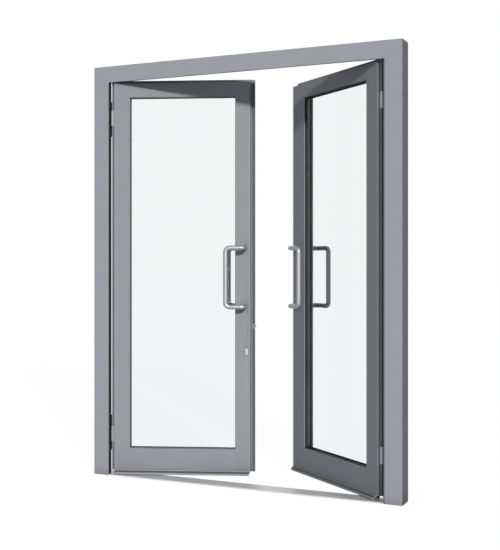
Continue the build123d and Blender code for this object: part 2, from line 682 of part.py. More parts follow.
for leaf in leaves:
    # Hinge stile: a tube with the glazing lip on one side and the stepped edge on the other
    with BuildPart() as hinge_stile:
        outline = [
            (face_start, outer),
            (glass_start, outer),
            (glass_start, lip_back),
            (tube_start, lip_back),
            (tube_start, inner),
            (body_start, inner),
            (body_start, step_back),
            (face_start, step_back),
        ]
        rooms = [
            hinge_face_room,
            hinge_tube_room,
            ((body_start + leaf_wall, face_start), (step_back + wrap_plate + leaf_wall, inner - leaf_wall)),
        ]
        leaf_section(leaf, outline, rooms, (leaf_bottom, body_top))
        clear_face_top(leaf, (0, glass_start + overrun))
        for hinge_z in hinge_heights:
            wing_z = (hinge_z - half_leaf_knuckle, hinge_z + half_leaf_knuckle)
            inset = (step_back - overrun, step_back + wrap_plate)
            leaf_box(leaf, (body_start - overrun, face_start), inset, wing_z, Mode.SUBTRACT)
            for rise in (-screw_spacing / 2, screw_spacing / 2):
                screw_u = leaf_plate_width - leaf_screw_setback
                hole = (inner - screw_length, inner + overrun)
                hole_radius = screw_radius + screw_hole_clearance
                through_rod(leaf, screw_u, hinge_z + rise, hole, hole_radius, Mode.SUBTRACT)
    save(hinge_stile, leaf.side + "_hinge_stile")

    # Meeting stile: two steps on the left leaf, a covering lip on the right leaf
    with BuildPart() as meeting_stile:
        if leaf is left_leaf:
            first_end = leaf.face_end + first_band
            groove_back = step_back + edge_groove_depth
            edge = [
                (leaf.face_end, outer),
                (leaf.face_end, groove_back),
                (leaf.face_end + edge_groove_width, groove_back),
                (leaf.face_end + edge_groove_width, step_back),
                (first_end, step_back),
                (first_end, second_back),
                (leaf.body_end, second_back),
                (leaf.body_end, inner),
            ]
            step_v = (second_back + leaf_wall, inner - leaf_wall)
            rooms = [((leaf.face_end, leaf.body_end - leaf_wall), step_v)]
        else:
            cover_back = outer + right_lip_depth
            edge = [
                (leaf.face_end, outer),
                (leaf.face_end, cover_back),
                (leaf.body_end, cover_back),
                (leaf.body_end, inner),
            ]
            cover_v = (outer + leaf_wall, cover_back - leaf_wall)
            rooms = [((leaf.body_end, leaf.face_end - leaf_wall), cover_v)]
        outline = edge + [(tube_end, inner), (tube_end, lip_back), (glass_end, lip_back), (glass_end, outer)]
        rooms += meeting_rooms(leaf)
        leaf_section(leaf, outline, rooms, (leaf_bottom, body_top))
        clear_face_top(leaf, (glass_end - overrun, leaf.face_end + overrun))
        for z in stud_heights:
            stud_hole = (outer - overrun, inner + overrun)
            through_rod(leaf, mount_u, z, stud_hole, stud_hole_radius, Mode.SUBTRACT)
        if leaf is left_leaf:
            key_hole(leaf, (outer - overrun, inner + overrun), cleat_clearance, Mode.SUBTRACT)
            slot_u = (face_in, left_body_end + overrun)
            slot_v = (lock_depth - faceplate_width / 2, lock_depth + faceplate_width / 2)
            leaf_box(leaf, slot_u, slot_v, (faceplate_low, faceplate_high), Mode.SUBTRACT)
            case_u = (left_body_end - lock_case_width, left_body_end)
            leaf_box(leaf, case_u, case_v, (lock_low, lock_high), Mode.SUBTRACT)
        else:
            plate_u = (leaf.body_end - strike_thickness, leaf.body_end + overrun)
            leaf_box(leaf, plate_u, strike_v, strike_zs, Mode.SUBTRACT)
            pocket_u = (leaf.body_end - strike_pocket, leaf.body_end)
            pocket_v = (roller_v[0] - strike_clearance, roller_v[1] + strike_clearance)
            pocket_z = (bolt_zs[0] - strike_clearance, roller_zs[1] + strike_clearance)
            leaf_box(leaf, pocket_u, pocket_v, pocket_z, Mode.SUBTRACT)
            bore = flush_bolt_radius + flush_bolt_clearance
            leaf_rod(leaf, bolt_u, bolt_axis_v, (rod_top[0], body_top + overrun), bore, Mode.SUBTRACT)
            leaf_rod(leaf, bolt_u, bolt_axis_v, (leaf_bottom - overrun, rod_bottom[1]), bore, Mode.SUBTRACT)
            thumb_u = (bolt_u, leaf.body_end + overrun)
            leaf_box(leaf, thumb_u, thumb_slot_v, upper_slot, Mode.SUBTRACT)
            leaf_box(leaf, thumb_u, thumb_slot_v, lower_slot, Mode.SUBTRACT)
    save(meeting_stile, leaf.side + "_meeting_stile")

    # Rails: hollow bars between the stiles, notched at their ends round the stiles' glazing lips
    lip_ends = ((tube_start - overrun, glass_start), (glass_end, tube_end + overrun))
    with BuildPart() as top_rail:
        outline = [
            (outer, glass_top),
            (outer, face_top),
            (step_back, face_top),
            (step_back, body_top),
            (inner, body_top),
            (inner, top_tube),
            (lip_back, top_tube),
            (lip_back, glass_top),
        ]
        rooms = [
            (tube_room_v, (top_tube + leaf_wall, body_top - leaf_wall)),
            (face_room_v, (top_tube + leaf_wall, face_top - leaf_wall)),
        ]
        leaf_rail(leaf, outline, rooms, (tube_start, tube_end))
        for lip_u in lip_ends:
            leaf_box(leaf, lip_u, (outer - overrun, lip_back), (glass_top - overrun, body_top), Mode.SUBTRACT)
    save(top_rail, leaf.side + "_top_rail")

    with BuildPart() as bottom_rail:
        outline = [
            (outer, leaf_bottom),
            (outer, glass_bottom),
            (lip_back, glass_bottom),
            (lip_back, bottom_tube),
            (inner, bottom_tube),
            (inner, leaf_bottom),
        ]
        rooms = [
            (tube_room_v, (leaf_bottom + leaf_wall, bottom_tube - leaf_wall)),
            (face_room_v, (leaf_bottom + leaf_wall, bottom_tube - leaf_wall)),
        ]
        leaf_rail(leaf, outline, rooms, (tube_start, tube_end))
        for lip_u in lip_ends:
            notch_z = (leaf_bottom - overrun, glass_bottom + overrun)
            leaf_box(leaf, lip_u, (outer - overrun, lip_back), notch_z, Mode.SUBTRACT)
    save(bottom_rail, leaf.side + "_bottom_rail")

    # Corner cleats: blocks in the rails' ends that are screwed to the stiles
    with BuildPart() as corner_cleats:
        slack = leaf_wall + cleat_clearance
        cleat_v = (step_back + slack, inner - slack)
        ends = ((tube_start, tube_start + leaf_cleat_reach), (tube_end - leaf_cleat_reach, tube_end))
        for cleat_u in ends:
            leaf_box(leaf, cleat_u, cleat_v, (top_tube + slack, body_top - slack))
            leaf_box(leaf, cleat_u, cleat_v, (leaf_bottom + slack, bottom_tube - slack))
    save(corner_cleats, leaf.side + "_corner_cleats")

    # Stile caps: plastic plates that close the stiles' ends; the right one guides the flush bolts
    with BuildPart() as stile_caps:
        foot_z = (leaf_bottom, leaf_bottom + cap_thickness)
        for face_room, tube_room in ((hinge_face_room, hinge_tube_room), meeting_rooms(leaf)):
            room_plug(leaf, face_room, (face_top - cap_thickness, face_top))
            room_plug(leaf, tube_room, (body_top - cap_thickness, body_top))
            room_plug(leaf, face_room, foot_z)
            room_plug(leaf, tube_room, foot_z)
        if leaf is right_leaf:
            guide = flush_bolt_radius + flush_bolt_clearance
            whole = (leaf_bottom - overrun, body_top + overrun)
            leaf_rod(leaf, bolt_u, bolt_axis_v, whole, guide, Mode.SUBTRACT)
    save(stile_caps, leaf.side + "_stile_caps")

    # Sealed glass unit: two panes with a spacer between their edges
    pane_u = (glass_start - glazing_lip + pane_margin, glass_end + glazing_lip - pane_margin)
    pane_z = (glass_bottom - glazing_lip + pane_margin, glass_top + glazing_lip - pane_margin)
    with BuildPart() as glass_panes:
        leaf_box(leaf, pane_u, (pane_outer, gap_outer), pane_z)
        leaf_box(leaf, pane_u, (gap_inner, pane_inner), pane_z)
    save(glass_panes, leaf.side + "_glass_panes")

    with BuildPart() as glass_spacer:
        leaf_box(leaf, pane_u, (gap_outer, gap_inner), pane_z)
        hole_u = (pane_u[0] + spacer_width, pane_u[1] - spacer_width)
        hole_z = (pane_z[0] + spacer_width, pane_z[1] - spacer_width)
        leaf_box(leaf, hole_u, (gap_outer - overrun, gap_inner + overrun), hole_z, Mode.SUBTRACT)
    save(glass_spacer, leaf.side + "_glass_spacer")

    # Glazing rubbers on both sides of the glass, and the beads that hold it from inside
    with BuildPart() as glazing_gaskets:
        rubber_ring(leaf, (lip_back, pane_outer))
        rubber_ring(leaf, (pane_inner, bead_outer))
    save(glazing_gaskets, leaf.side + "_glazing_gaskets")

    with BuildPart() as glazing_beads:
        bead_v = (bead_outer, inner)
        hollow_v = (bead_outer + bead_wall, inner - bead_wall)
        inside = bead_wall
        for bead_z in ((bottom_tube, glass_bottom), (glass_top, top_tube)):
            leaf_box(leaf, (tube_start, tube_end), bead_v, bead_z)
            hollow_z = (bead_z[0] + inside, bead_z[1] - inside)
            leaf_box(leaf, (tube_start, tube_end), hollow_v, hollow_z, Mode.SUBTRACT)
        for bead_u in ((tube_start, glass_start), (glass_end, tube_end)):
            side_z = (glass_bottom + bead_joint, glass_top - bead_joint)
            leaf_box(leaf, bead_u, bead_v, side_z)
            hollow_u = (bead_u[0] + inside, bead_u[1] - inside)
            leaf_box(leaf, hollow_u, hollow_v, side_z, Mode.SUBTRACT)
    save(glazing_beads, leaf.side + "_glazing_beads")

    # Drip bar: a sloping nose along the foot of the outer face, its ends cut back at an angle
    with BuildPart() as drip_bar:
        bar_u = (face_start + drip_end_setback, leaf.face_end - drip_end_setback)
        with BuildSketch(across(leaf, bar_u[0])) as nose:
            with BuildLine():
                Polyline(
                    (outer, leaf_bottom + drip_seat),
                    (outer - drip_wall, leaf_bottom + drip_seat),
                    (outer - drip_wall, leaf_bottom),
                    (outer - drip_projection, leaf_bottom - drip_height + drip_nose),
                    (outer - drip_projection, leaf_bottom - drip_height),
                    (outer - drip_projection + drip_wall, leaf_bottom - drip_height),
                    (outer - drip_projection + drip_wall, leaf_bottom - drip_height + drip_nose),
                    (outer, leaf_bottom - drip_wall),
                    close=True,
                )
            make_face()
        extrude(nose.sketch, amount=leaf.hand * (bar_u[1] - bar_u[0]))
        nose_v = outer - drip_projection
        for end_u, sense in ((bar_u[0], 1), (bar_u[1], -1)):
            with BuildSketch(plan(leaf, 0)) as bevel:
                with BuildLine():
                    Polyline(
                        (end_u, leaf.hand * outer),
                        (end_u + sense * drip_end_bevel, leaf.hand * nose_v),
                        (end_u, leaf.hand * nose_v),
                        close=True,
                    )
                make_face()
            extrude(bevel.sketch, amount=glass_bottom, mode=Mode.SUBTRACT)
    save(drip_bar, leaf.side + "_drip_bar")

    # Brush seal let into the underside of the leaf
    with BuildPart() as bottom_brush:
        brush_v = (outer + brush_setback, outer + brush_setback + brush_thickness)
        brush_u = (face_start + brush_end_setback, leaf.face_end - meeting_stile_face)
        leaf_box(leaf, brush_u, brush_v, (threshold_height + brush_gap, leaf_bottom))
    save(bottom_brush, leaf.side + "_bottom_brush")

    # Handles inside and out, on studs through the meeting stile
    for place, seat, sense in (("outer", outer, -1), ("inner", inner, 1)):
        with BuildPart() as handle:
            handle_bar(leaf, seat, sense)
        save(handle, leaf.side + "_" + place + "_handle")

    with BuildPart() as handle_studs:
        for z in stud_heights:
            through_rod(leaf, mount_u, z, (outer - stud_reach, inner + stud_reach), stud_radius)
    save(handle_studs, leaf.side + "_handle_studs")

    # Hinge halves on the leaf: the middle knuckle, a plate on the inner face and a wrap round the edge
    for name, hinge_z in zip(hinge_names, hinge_heights):
        with BuildPart() as leaf_hinge:
            wing_z = (hinge_z - half_leaf_knuckle, hinge_z + half_leaf_knuckle)
            leaf_box(leaf, (0, leaf_plate_width), (inner, inner + hinge_plate), wing_z)
            leaf_box(leaf, (body_start - wrap_plate, body_start), (step_back, inner), wing_z)
            leaf_box(leaf, (body_start, face_start), (step_back, step_back + wrap_plate), wing_z)
            leaf_rod(leaf, 0, 0, wing_z, knuckle_radius)
            leaf_rod(leaf, 0, 0, wing_z, pin_radius + pin_clearance, Mode.SUBTRACT)
            for rise in (-screw_spacing / 2, screw_spacing / 2):
                screw_u = leaf_plate_width - leaf_screw_setback
                hole = (inner - overrun, inner + hinge_plate + overrun)
                hole_radius = screw_radius + screw_hole_clearance
                through_rod(leaf, screw_u, hinge_z + rise, hole, hole_radius, Mode.SUBTRACT)
        save(leaf_hinge, leaf.side + "_" + name + "_leaf_hinge")

    with BuildPart() as hinge_screws:
        for hinge_z in hinge_heights:
            for rise in (-screw_spacing / 2, screw_spacing / 2):
                screw_u = leaf_plate_width - leaf_screw_setback
                seat = inner + hinge_plate
                through_rod(leaf, screw_u, hinge_z + rise, (seat - screw_length, seat), screw_radius)
                head_v = (seat, seat + screw_head_height)
                through_rod(leaf, screw_u, hinge_z + rise, head_v, screw_head_radius)
    save(hinge_screws, leaf.side + "_hinge_screws")

# Lock case: a flat steel box in the left meeting stile, open towards the faceplate
with BuildPart() as lock_case:
    case_u = (left_body_end - lock_case_width + cleat_clearance, case_front)
    in_v = (case_v[0] + cleat_clearance, case_v[1] - cleat_clearance)
    in_z = (lock_low + cleat_clearance, lock_high - cleat_clearance)
    leaf_box(left_leaf, case_u, in_v, in_z)
    room_v = (in_v[0] + lock_wall, in_v[1] - lock_wall)
    room_z = (in_z[0] + lock_wall, in_z[1] - lock_wall)
    leaf_box(left_leaf, (case_u[0] + lock_wall, case_u[1] + overrun), room_v, room_z, Mode.SUBTRACT)
    key_hole(left_leaf, (in_v[0] - overrun, in_v[1] + overrun), cleat_clearance, Mode.SUBTRACT)
save(lock_case, "lock_case")

# Faceplate: a steel strip in the leaf's edge, with slots for the bolt and the roller
with BuildPart() as lock_faceplate:
    plate_v = (lock_depth - faceplate_width / 2, lock_depth + faceplate_width / 2)
    leaf_box(left_leaf, (face_in, left_body_end), plate_v, (faceplate_low, faceplate_high))
    slot_u = (face_in - overrun, left_body_end + overrun)
    leaf_box(left_leaf, slot_u, bolt_slot_v, bolt_slot_z, Mode.SUBTRACT)
    leaf_box(left_leaf, slot_u, roller_slot_v, roller_slot_z, Mode.SUBTRACT)
save(lock_faceplate, "lock_faceplate")

# Deadbolt: drawn back level with the faceplate in the rest pose
with BuildPart() as deadbolt:
    leaf_box(left_leaf, (left_body_end - bolt_length, left_body_end), bolt_v, bolt_zs)
save(deadbolt, "deadbolt")

# Roller latch: a sprung stem with a round nose that holds the closed leaf
with BuildPart() as roller_latch:
    nose_u = left_body_end + roller_proud - roller_radius
    with BuildSketch(elevation(left_leaf, roller_v[0])) as roller:
        with Locations((nose_u, roller_height)):
            Circle(roller_radius)
    extrude(roller.sketch, amount=-roller_thickness)
    leaf_box(left_leaf, (nose_u - roller_stem, nose_u), roller_v, roller_zs)
save(roller_latch, "roller_latch")

# Lock cylinder: the keyhole-shaped body through the stile, with the bore for its plug
with BuildPart() as lock_cylinder:
    body_v = (outer - cylinder_proud, inner + cylinder_proud)
    key_hole(left_leaf, body_v, 0, Mode.ADD)
    bore_v = (outer - cylinder_proud - overrun, inner + cylinder_proud + overrun)
    bore_radius = plug_radius + plug_clearance
    through_rod(left_leaf, cylinder_u, cylinder_height, bore_v, bore_radius, Mode.SUBTRACT)
save(lock_cylinder, "lock_cylinder")

# Plug: the round core that the key turns, with its keyway
with BuildPart() as cylinder_plug:
    plug_v = (outer - cylinder_proud - plug_proud, inner + cylinder_proud + plug_proud)
    through_rod(left_leaf, cylinder_u, cylinder_height, plug_v, plug_radius)
    way_u = (cylinder_u - keyway_width / 2, cylinder_u + keyway_width / 2)
    way_z = (cylinder_height - keyway_height / 2, cylinder_height + keyway_height / 2)
    leaf_box(left_leaf, way_u, (plug_v[0] - overrun, plug_v[0] + keyway_depth), way_z, Mode.SUBTRACT)
    leaf_box(left_leaf, way_u, (plug_v[1] - keyway_depth, plug_v[1] + overrun), way_z, Mode.SUBTRACT)
save(cylinder_plug, "cylinder_plug")

# Strike plate on the right leaf's edge, with openings for the bolt and the roller
with BuildPart() as strike_plate:
    leaf_box(right_leaf, (right_body_end - strike_thickness, right_body_end), strike_v, strike_zs)
    open_u = (right_body_end - strike_thickness - overrun, right_body_end + overrun)
    for (v0, v1), (z0, z1) in ((bolt_v, bolt_zs), (roller_v, roller_zs)):
        open_v = (v0 - strike_clearance, v1 + strike_clearance)
        leaf_box(right_leaf, open_u, open_v, (z0 - strike_clearance, z1 + strike_clearance), Mode.SUBTRACT)
save(strike_plate, "strike_plate")

# Meeting gasket: a rubber strip on the left leaf's second step, broken at the latch
with BuildPart() as meeting_gasket:
    strip_end = left_body_end - meeting_gasket_setback
    strip_u = (strip_end - meeting_gasket_width, strip_end)
    strip_v = (outer + right_lip_depth + gasket_clearance, second_back)
    break_low = roller_height - meeting_gasket_break / 2
    for strip_z in ((leaf_bottom, break_low), (break_low + meeting_gasket_break, face_top)):
        leaf_box(left_leaf, strip_u, strip_v, strip_z)
save(meeting_gasket, "meeting_gasket")

# Flush bolts: rods in the right meeting stile with a thumb piece on its edge
for name, rod, thumb in (("top", rod_top, thumb_zs), ("bottom", rod_bottom, low_thumb_zs)):
    with BuildPart() as flush_bolt:
        leaf_rod(right_leaf, bolt_u, bolt_axis_v, rod, flush_bolt_radius)
        leaf_box(right_leaf, (bolt_u, right_body_end + thumb_proud), thumb_v, thumb)
    save(flush_bolt, name + "_flush_bolt")
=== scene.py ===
import json
import math
import random

import bmesh
import bpy
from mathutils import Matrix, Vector


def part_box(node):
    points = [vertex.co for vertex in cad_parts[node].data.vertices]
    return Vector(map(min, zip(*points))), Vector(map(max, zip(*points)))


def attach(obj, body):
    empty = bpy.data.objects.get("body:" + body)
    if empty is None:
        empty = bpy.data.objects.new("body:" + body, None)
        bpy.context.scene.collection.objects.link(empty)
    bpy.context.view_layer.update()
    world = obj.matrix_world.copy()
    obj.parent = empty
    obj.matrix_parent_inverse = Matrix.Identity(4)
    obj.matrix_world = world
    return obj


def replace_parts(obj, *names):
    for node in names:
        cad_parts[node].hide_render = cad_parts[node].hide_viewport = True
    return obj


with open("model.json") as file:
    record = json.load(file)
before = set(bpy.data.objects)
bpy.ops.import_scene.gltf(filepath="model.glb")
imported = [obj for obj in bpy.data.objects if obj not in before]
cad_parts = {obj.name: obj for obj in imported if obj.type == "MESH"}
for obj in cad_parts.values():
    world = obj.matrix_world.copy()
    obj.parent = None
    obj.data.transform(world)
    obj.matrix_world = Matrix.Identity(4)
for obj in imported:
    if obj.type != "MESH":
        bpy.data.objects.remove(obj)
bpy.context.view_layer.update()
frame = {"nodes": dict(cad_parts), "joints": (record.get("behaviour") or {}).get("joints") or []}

nodes = frame["nodes"]

# Frame: two jambs and a head of drawn aluminium tube, sawn to a mitre at the top corners.
# The bars are coated in a satin grey powder that dries with a very fine grain.
# Their corners carry painted shade, and they grow darker towards their feet.


class Shade:
    """One output in a material's nodes: sums and products on it add Math nodes, node() adds any other."""

    def __init__(self, tree, socket=None):
        self.tree = tree
        self.socket = socket

    def node(self, kind, settings=None, sockets=None, output=0):
        """Adds a node: its settings are set first, then each socket takes a value or a link."""
        made = self.tree.nodes.new(kind)
        for name, value in (settings or {}).items():
            setattr(made, name, value)
        for name, value in (sockets or {}).items():
            if isinstance(value, Shade):
                self.tree.links.new(value.socket, made.inputs[name])
            else:
                made.inputs[name].default_value = value
        return Shade(self.tree, made.outputs[output] if made.outputs else None)

    def math(self, operation, first, second):
        """Adds one Math node on two values or links."""
        return self.node("ShaderNodeMath", {"operation": operation}, {0: first, 1: second})

    def __add__(self, other):
        return self.math("ADD", self, other)

    def __radd__(self, other):
        return self.math("ADD", other, self)

    def __mul__(self, other):
        return self.math("MULTIPLY", self, other)

    def __rmul__(self, other):
        return self.math("MULTIPLY", other, self)


def blank(name):
    """A new material with no nodes, and a Shade to add them with."""
    made = bpy.data.materials.new(name)
    made.use_nodes = True
    made.node_tree.nodes.clear()
    return made, Shade(made.node_tree)


def close(shade, sockets):
    """Ends a material in one principled surface."""
    surface = shade.node("ShaderNodeBsdfPrincipled", None, sockets)
    shade.node("ShaderNodeOutputMaterial", None, {"Surface": surface})


def place_along(shade, axis):
    """How far along an axis a point of the piece is, in metres."""
    place = shade.node("ShaderNodeTexCoord", None, None, "Object")
    return shade.node("ShaderNodeSeparateXYZ", None, {"Vector": place}, axis)


def grain(shade, scale, detail=2.0, stretch=(1.0, 1.0, 1.0)):
    """Noise from 0 to 1 over the piece, in turns per metre, stretched along its axes."""
    place = shade.node("ShaderNodeTexCoord", None, None, "Object")
    spread = shade.node("ShaderNodeMapping", None, {"Vector": place, "Scale": stretch})
    return shade.node("ShaderNodeTexNoise", None, {"Vector": spread, "Scale": scale, "Detail": detail})


def tint(shade, share, low, high):
    """A colour between two others, by a share from 0 to 1."""
    settings = {"data_type": "RGBA"}
    sockets = {"Factor": share, "A": (*low, 1.0), "B": (*high, 1.0)}
    return shade.node("ShaderNodeMix", settings, sockets, "Result")


def relief(shade, height, depth):
    """A bump of the given depth in metres."""
    return shade.node("ShaderNodeBump", None, {"Height": height, "Strength": 1.0, "Distance": depth})


def wear(piece, material):
    """Gives a piece one material all over."""
    piece.data.materials.clear()
    piece.data.materials.append(material)


def veiled(shade, colour, veil):
    """One colour times another."""
    settings = {"data_type": "RGBA", "blend_type": "MULTIPLY"}
    return shade.node("ShaderNodeMix", settings, {"Factor": 1.0, "A": colour, "B": veil}, "Result")


def corner_shade(shade, reach, dark):
    """White in the open and dark in corners and narrow gaps: painted shade where less light reaches."""
    open_share = shade.node("ShaderNodeAmbientOcclusion", {"samples": 12}, {"Distance": reach}, "AO")
    return tint(shade, open_share, (dark, dark, dark), (1.0, 1.0, 1.0))


def darker_at_foot(shade, dull):
    """White high up and duller towards the foot."""
    foot_fade_top = 0.25
    foot_fade_bottom = 0.02
    sockets = {"Value": place_along(shade, "Z"), "From Min": foot_fade_top, "From Max": foot_fade_bottom}
    low = shade.node("ShaderNodeMapRange", None, sockets)
    return tint(shade, low * low, (1.0, 1.0, 1.0), (dull, dull, dull))


def powder_coat(name, low, high, dark, dull):
    """Satin powder coat: a faint cloud in the colour, a fine grain, painted shade in corners, darker at the
    foot.
    """
    made, shade = blank(name)
    cloud = grain(shade, scale=9.0, detail=3.0)
    speck = grain(shade, scale=1400.0, detail=1.0)
    clean = tint(shade, cloud, low, high)
    corner_shaded = veiled(shade, clean, corner_shade(shade, reach=0.05, dark=dark))
    close(shade, {
        "Base Color": veiled(shade, corner_shaded, darker_at_foot(shade, dull)),
        "Roughness": 0.42 + 0.08 * speck,
        "Specular IOR Level": 0.02,
        "Normal": relief(shade, speck, depth=0.00004),
    })
    return made


def ease_edges(piece, width):
    """Rounds a bar's outside edges a little, as drawn metal has them, on top of its own mesh."""
    piece.modifiers.new("join", "WELD").merge_threshold = 0.000001
    flat = piece.modifiers.new("flat", "DECIMATE")
    flat.decimate_type = "DISSOLVE"
    flat.angle_limit = math.radians(0.5)
    soft = piece.modifiers.new("soft", "BEVEL")
    soft.width = width
    soft.segments = 2
    soft.limit_method = "ANGLE"
    soft.angle_limit = math.radians(40)


frame_grey = {"low": (0.304, 0.314, 0.33), "high": (0.332, 0.342, 0.358)}
frame_paint = powder_coat("frame_paint", **frame_grey, dark=0.62, dull=0.95)
for name in ("left_jamb", "right_jamb", "head"):
    wear(nodes[name], frame_paint)
    ease_edges(nodes[name], width=0.0008)

# Threshold: a flat drawn strip of aluminium between the jambs, left in plain metal.
# Feet have dulled it along its length, and the drawing marks still show.
threshold_metal, shade = blank("threshold_metal")
lines = grain(shade, scale=240.0, stretch=(0.02, 1.0, 1.0))
dull = grain(shade, scale=6.0, detail=4.0)
close(shade, {
    "Base Color": tint(shade, dull, low=(0.6, 0.6, 0.605), high=(0.7, 0.7, 0.705)),
    "Metallic": 0.6,
    "Roughness": 0.38 + 0.18 * lines,
    "Normal": relief(shade, lines, depth=0.00003),
})
wear(nodes["threshold"], threshold_metal)

# Seals: extruded rubber strips, pressed into grooves of the frame, of the left leaf's step and
# round the glass. A pale bloom comes to their surface. The strip where the leaves meet is grey.
# The glazing rubber is painted grey on the left as painted light and near black on the right as painted
# shade, and the frame's strip is painted lighter towards the right, as painted light.


def rubber(name, low, high, right_light_share=0.0):
    """Matt rubber with a fine skin and a cloudy bloom; a share of it may be painted lighter towards the
    right.
    """
    made, shade = blank(name)
    light_ramp_from = -0.5
    light_ramp_to = 0.5
    sockets = {"Value": place_along(shade, "X"), "From Min": light_ramp_from, "From Max": light_ramp_to}
    painted_right_light = shade.node("ShaderNodeMapRange", None, sockets)
    bloom = right_light_share * painted_right_light + (1.0 - right_light_share) * grain(shade, scale=30.0, detail=3.0)
    speck = grain(shade, scale=900.0, detail=1.0)
    close(shade, {
        "Base Color": tint(shade, bloom, low, high),
        "Roughness": 0.55 + 0.15 * speck,
        "Specular IOR Level": 0.15,
        "Normal": relief(shade, speck, depth=0.00005),
    })
    return made


# One glazing rubber in two copies: grey on the left as painted light, near black on the right as painted
# shade.
left_glass_rubber = rubber("left_glass_rubber", low=(0.15, 0.152, 0.156), high=(0.175, 0.177, 0.181))
wear(nodes["left_glazing_gaskets"], left_glass_rubber)
right_glass_rubber = rubber("right_glass_rubber", low=(0.014, 0.014, 0.016), high=(0.024, 0.024, 0.026))
wear(nodes["right_glazing_gaskets"], right_glass_rubber)
# The frame's strip is painted lighter towards the right, as painted light.
frame_rubber = rubber("frame_rubber", low=(0.018, 0.019, 0.02), high=(0.098, 0.1, 0.103), right_light_share=0.9)
wear(nodes["frame_gasket"], frame_rubber)
meeting_rubber = rubber("meeting_rubber", low=(0.09, 0.092, 0.097), high=(0.108, 0.11, 0.115))
wear(nodes["meeting_gasket"], meeting_rubber)

# Corner cleats: blocks of cast aluminium, pressed into the hollow bars to hold the corners square.
# They keep their rough skin, because they are seen only where a bar is open.
cast_metal, shade = blank("cast_metal")
skin = grain(shade, scale=220.0, detail=3.0)
close(shade, {
    "Base Color": tint(shade, skin, low=(0.42, 0.42, 0.43), high=(0.58, 0.58, 0.58)),
    "Metallic": 0.9,
    "Roughness": 0.5 + 0.2 * skin,
    "Normal": relief(shade, skin, depth=0.0001),
})
for name in ("frame_corner_cleats", "left_corner_cleats", "right_corner_cleats"):
    wear(nodes[name], cast_metal)

# Hinges: the halves on the frame are coated dark, and those on the leaves are dull zinc.
# On the right leaf the zinc is painted nearly white, as painted light where those hinges stand in shade.
# Each pair turns on a steel pin and is held by round-headed screws with a hexagon socket.
dark_hinge, shade = blank("hinge_dark_paint")
speck = grain(shade, scale=1200.0, detail=1.0)
close(shade, {
    "Base Color": tint(shade, grain(shade, scale=40.0), low=(0.03, 0.03, 0.032), high=(0.045, 0.045, 0.047)),
    "Roughness": 0.4 + 0.1 * speck,
    "Normal": relief(shade, speck, depth=0.00003),
})
light_hinge = {}
# The right leaf's zinc is painted nearly white, as painted light.
for side, low, high, metal in (("left", (0.3, 0.31, 0.3), (0.36, 0.37, 0.36), 0.7),
                               ("right", (0.92, 0.93, 0.93), (0.96, 0.97, 0.97), 0.1)):
    light_hinge[side], shade = blank(f"{side}_hinge_metal")
    lines = grain(shade, scale=500.0, stretch=(1.0, 1.0, 0.05))
    close(shade, {
        "Base Color": tint(shade, grain(shade, scale=50.0), low, high),
        "Metallic": metal,
        "Roughness": 0.35 + 0.12 * lines,
        "Normal": relief(shade, lines, depth=0.00002),
    })
plain_steel, shade = blank("plain_steel")
lines = grain(shade, scale=700.0, stretch=(1.0, 1.0, 0.1))
close(shade, {
    "Base Color": tint(shade, grain(shade, scale=60.0), low=(0.48, 0.48, 0.48), high=(0.58, 0.58, 0.575)),
    "Metallic": 1.0,
    "Roughness": 0.3 + 0.12 * lines,
    "Normal": relief(shade, lines, depth=0.00002),
})
for side in ("left", "right"):
    for place in ("upper", "lower"):
        wear(nodes[f"{side}_{place}_frame_hinge"], dark_hinge)
        wear(nodes[f"{side}_{place}_leaf_hinge"], light_hinge[side])
        ease_edges(nodes[f"{side}_{place}_leaf_hinge"], width=0.0004)
wear(nodes["hinge_pins"], plain_steel)


def solids_of(piece):
    """The separate solids of a node, each as a list of its corners."""
    body = bmesh.new()
    body.from_mesh(piece.data)
    bmesh.ops.remove_doubles(body, verts=body.verts, dist=0.000001)
    found = []
    for first in body.verts:
        if first.tag:
            continue
        first.tag = True
        group = [first]
        for corner in group:
            for edge in corner.link_edges:
                other = edge.other_vert(corner)
                if not other.tag:
                    other.tag = True
                    group.append(other)
        found.append([corner.co.copy() for corner in group])
    body.free()
    return found


ring_points = 24


def ring(body, centre, across, up, radius, sides=0):
    """Adds a ring of points, round or, with a number of sides, straight-sided."""
    points = []
    for step in range(ring_points):
        turn = 2.0 * math.pi * step / ring_points
        reach = radius
        if sides:
            wedge = 2.0 * math.pi / sides
            reach = radius * math.cos(wedge / 2) / math.cos(turn % wedge - wedge / 2)
        points.append(body.verts.new(centre + reach * (math.cos(turn) * across + math.sin(turn) * up)))
    return points


def screw(body, top, axis, radius, height, length):
    """Adds a button-head screw; top is the middle of its head.

    Each ring of it has a level along the axis, a share of the head's radius, and a number of sides."""
    up = Vector((0.0, 0.0, 1.0))
    across = up.cross(axis).normalized()
    seat = -height
    foot = seat - length
    shank = [(foot, 0.12, 0), (foot + 0.15 * length, 0.5, 0), (seat, 0.52, 0)]
    head = [(seat, 1.0, 0), (0.62 * seat, 1.0, 0), (0.22 * seat, 0.88, 0), (0.0, 0.66, 0)]
    socket = [(0.0, 0.46, 6), (0.55 * seat, 0.43, 6)]
    rings = []
    for level, share, sides in shank + head + socket:
        rings.append(ring(body, top + level * axis, across, up, share * radius, sides))
    for low, high in zip(rings, rings[1:]):
        for step in range(ring_points):
            body.faces.new((low[step], low[step - 1], high[step - 1], high[step]))
    body.faces.new(rings[0])
    body.faces.new(reversed(rings[-1]))


def finish_piece(body, name, material, rides):
    """Turns a bmesh into a piece that rides on a body of the frame."""
    bmesh.ops.recalc_face_normals(body, faces=body.faces)
    mesh = bpy.data.meshes.new(name)
    body.to_mesh(mesh)
    body.free()
    piece = bpy.data.objects.new(name, mesh)
    bpy.context.scene.collection.objects.link(piece)
    wear(piece, material)
    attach(piece, rides)
    return piece


